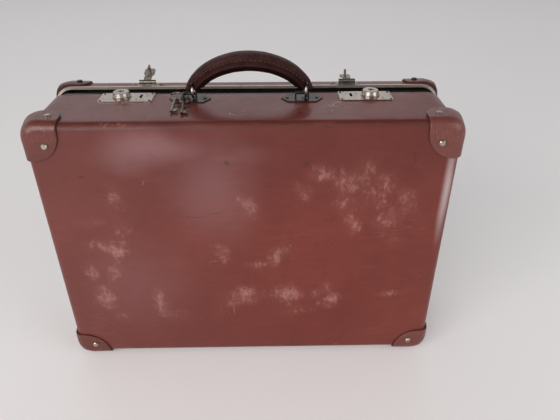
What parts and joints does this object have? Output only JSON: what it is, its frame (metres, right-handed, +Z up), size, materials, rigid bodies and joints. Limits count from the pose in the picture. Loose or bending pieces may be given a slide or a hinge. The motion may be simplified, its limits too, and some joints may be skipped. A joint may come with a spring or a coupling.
{
  "type": "suitcase",
  "caption": "Old brown leather suitcase standing upright with its lid slightly ajar, two sliding-knob hasp locks, a ring-mounted handle, riveted corner caps and tied keys.",
  "frame": {"origin": "centre of the bounding box in X and Y, on the table under the feet in Z", "axes": "+X along the width of the case, -Y is the front face, +Z up"},
  "size_m": [0.4088, 0.1306, 0.335],
  "materials": {
    "leather_body": "satin",
    "leather_cap": "satin",
    "leather_handle": "satin",
    "nickel_steel": "satin",
    "dark_steel": "satin",
    "lining_cloth": "matte",
    "core_cord": "matte",
    "red_thread": "matte",
    "old_brass": "satin"
  },
  "bodies": {
    "base": {"base_shell": "leather_body", "base_rim": "dark_steel", "base_lining": "lining_cloth", "base_cap_top_left": "leather_cap", "base_cap_top_right": "leather_cap", "base_cap_bottom_left": "leather_cap", "base_cap_bottom_right": "leather_cap", "base_cap_rivets": "dark_steel", "left_lock_plate": "nickel_steel", "right_lock_plate": "nickel_steel", "left_lock_case": "dark_steel", "right_lock_case": "dark_steel", "left_lock_spring": "nickel_steel", "right_lock_spring": "nickel_steel", "lock_nails": "nickel_steel", "left_handle_plate": "dark_steel", "right_handle_plate": "dark_steel", "handle_plate_rivets": "dark_steel", "left_hinge_base_leaf": "dark_steel", "right_hinge_base_leaf": "dark_steel", "left_hinge_pin": "nickel_steel", "right_hinge_pin": "nickel_steel", "hinge_base_rivets": "dark_steel"},
    "lid": {"lid_shell": "leather_body", "lid_rim": "nickel_steel", "lid_lining": "lining_cloth", "lid_cap_top_left": "leather_cap", "lid_cap_top_right": "leather_cap", "lid_cap_bottom_left": "leather_cap", "lid_cap_bottom_right": "leather_cap", "lid_cap_rivets": "dark_steel", "left_hinge_lid_leaf": "dark_steel", "right_hinge_lid_leaf": "dark_steel", "hinge_lid_rivets": "dark_steel", "left_hasp_foot": "dark_steel", "right_hasp_foot": "dark_steel", "left_hasp_pin": "nickel_steel", "right_hasp_pin": "nickel_steel", "hasp_rivets": "dark_steel"},
    "left_hasp": {"left_hasp_flap": "nickel_steel"},
    "right_hasp": {"right_hasp_flap": "nickel_steel"},
    "left_knob": {"left_lock_knob": "nickel_steel"},
    "right_knob": {"right_lock_knob": "nickel_steel"},
    "left_plug": {"left_lock_plug": "old_brass"},
    "right_plug": {"right_lock_plug": "old_brass"},
    "handle": {"handle_leather": "leather_handle", "handle_core": "core_cord", "handle_stitching": "red_thread"},
    "left_ring_body": {"left_ring": "nickel_steel"},
    "right_ring_body": {"right_ring": "nickel_steel"},
    "key_loop_body": {"key_loop": "nickel_steel"},
    "key_one_body": {"key_one": "nickel_steel"},
    "key_two_body": {"key_two": "old_brass"}
  },
  "joints": [
    {"name": "lid_hinge", "type": "hinge", "parent": "base", "child": "lid", "pos_m": [0, 0.01877, 0.0022], "axis": [1, 0, 0], "range_deg": [-176.49, 3.51]},
    {"name": "left_hasp_hinge", "type": "hinge", "parent": "lid", "child": "left_hasp", "pos_m": [-0.1044, 0.04315, 0.2924], "axis": [1, 0, 0], "range_deg": [-25, 165]},
    {"name": "right_hasp_hinge", "type": "hinge", "parent": "lid", "child": "right_hasp", "pos_m": [0.1044, 0.04315, 0.2924], "axis": [1, 0, 0], "range_deg": [-5, 185]},
    {"name": "left_knob_slide", "type": "slide", "parent": "base", "child": "left_knob", "axis": [-1, 0, 0], "range_m": [0, 0.0045], "stiffness_N_per_m": 300, "springref_m": -0.002, "deforming": ["left_lock_spring"]},
    {"name": "left_plug_turn", "type": "hinge", "parent": "left_knob", "child": "left_plug", "pos_m": [-0.1236, 0.00832, 0.2924], "axis": [0, 0, 1], "range_deg": [0, 90]},
    {"name": "right_knob_slide", "type": "slide", "parent": "base", "child": "right_knob", "axis": [1, 0, 0], "range_m": [0, 0.0045], "stiffness_N_per_m": 300, "springref_m": -0.002, "deforming": ["right_lock_spring"]},
    {"name": "right_plug_turn", "type": "hinge", "parent": "right_knob", "child": "right_plug", "pos_m": [0.1236, 0.00832, 0.2924], "axis": [0, 0, 1], "range_deg": [0, 90]},
    {"name": "handle_hinge", "type": "hinge", "parent": "base", "child": "handle", "pos_m": [0.0035, 0.00162, 0.2972], "axis": [-1, 0, 0], "range_deg": [-75, 70]},
    {"name": "left_ring_turn", "type": "hinge", "parent": "base", "child": "left_ring_body", "pos_m": [-0.0515, 0.00162, 0.2972], "axis": [-1, 0, 0], "range_deg": [-75, 70]},
    {"name": "right_ring_turn", "type": "hinge", "parent": "base", "child": "right_ring_body", "pos_m": [0.0585, 0.00162, 0.2972], "axis": [-1, 0, 0], "range_deg": [-75, 70]},
    {"name": "key_loop_lift", "type": "hinge", "parent": "base", "child": "key_loop_body", "pos_m": [-0.058, 0.00162, 0.2942], "axis": [-1, 0, 0], "range_deg": [0, 20]},
    {"name": "key_one_lift", "type": "hinge", "parent": "key_loop_body", "child": "key_one_body", "pos_m": [-0.0614, -0.00328, 0.2945], "axis": [-1, 0, 0], "range_deg": [0, 20]},
    {"name": "key_two_swing", "type": "hinge", "parent": "key_loop_body", "child": "key_two_body", "pos_m": [-0.0629, -0.00544, 0.2919], "axis": [0, 0, 1], "range_deg": [0, 15]}
  ],
  "couplings": [
    {"joint": "left_ring_turn", "follows": "handle_hinge", "ratio": 1},
    {"joint": "right_ring_turn", "follows": "handle_hinge", "ratio": 1}
  ]
}
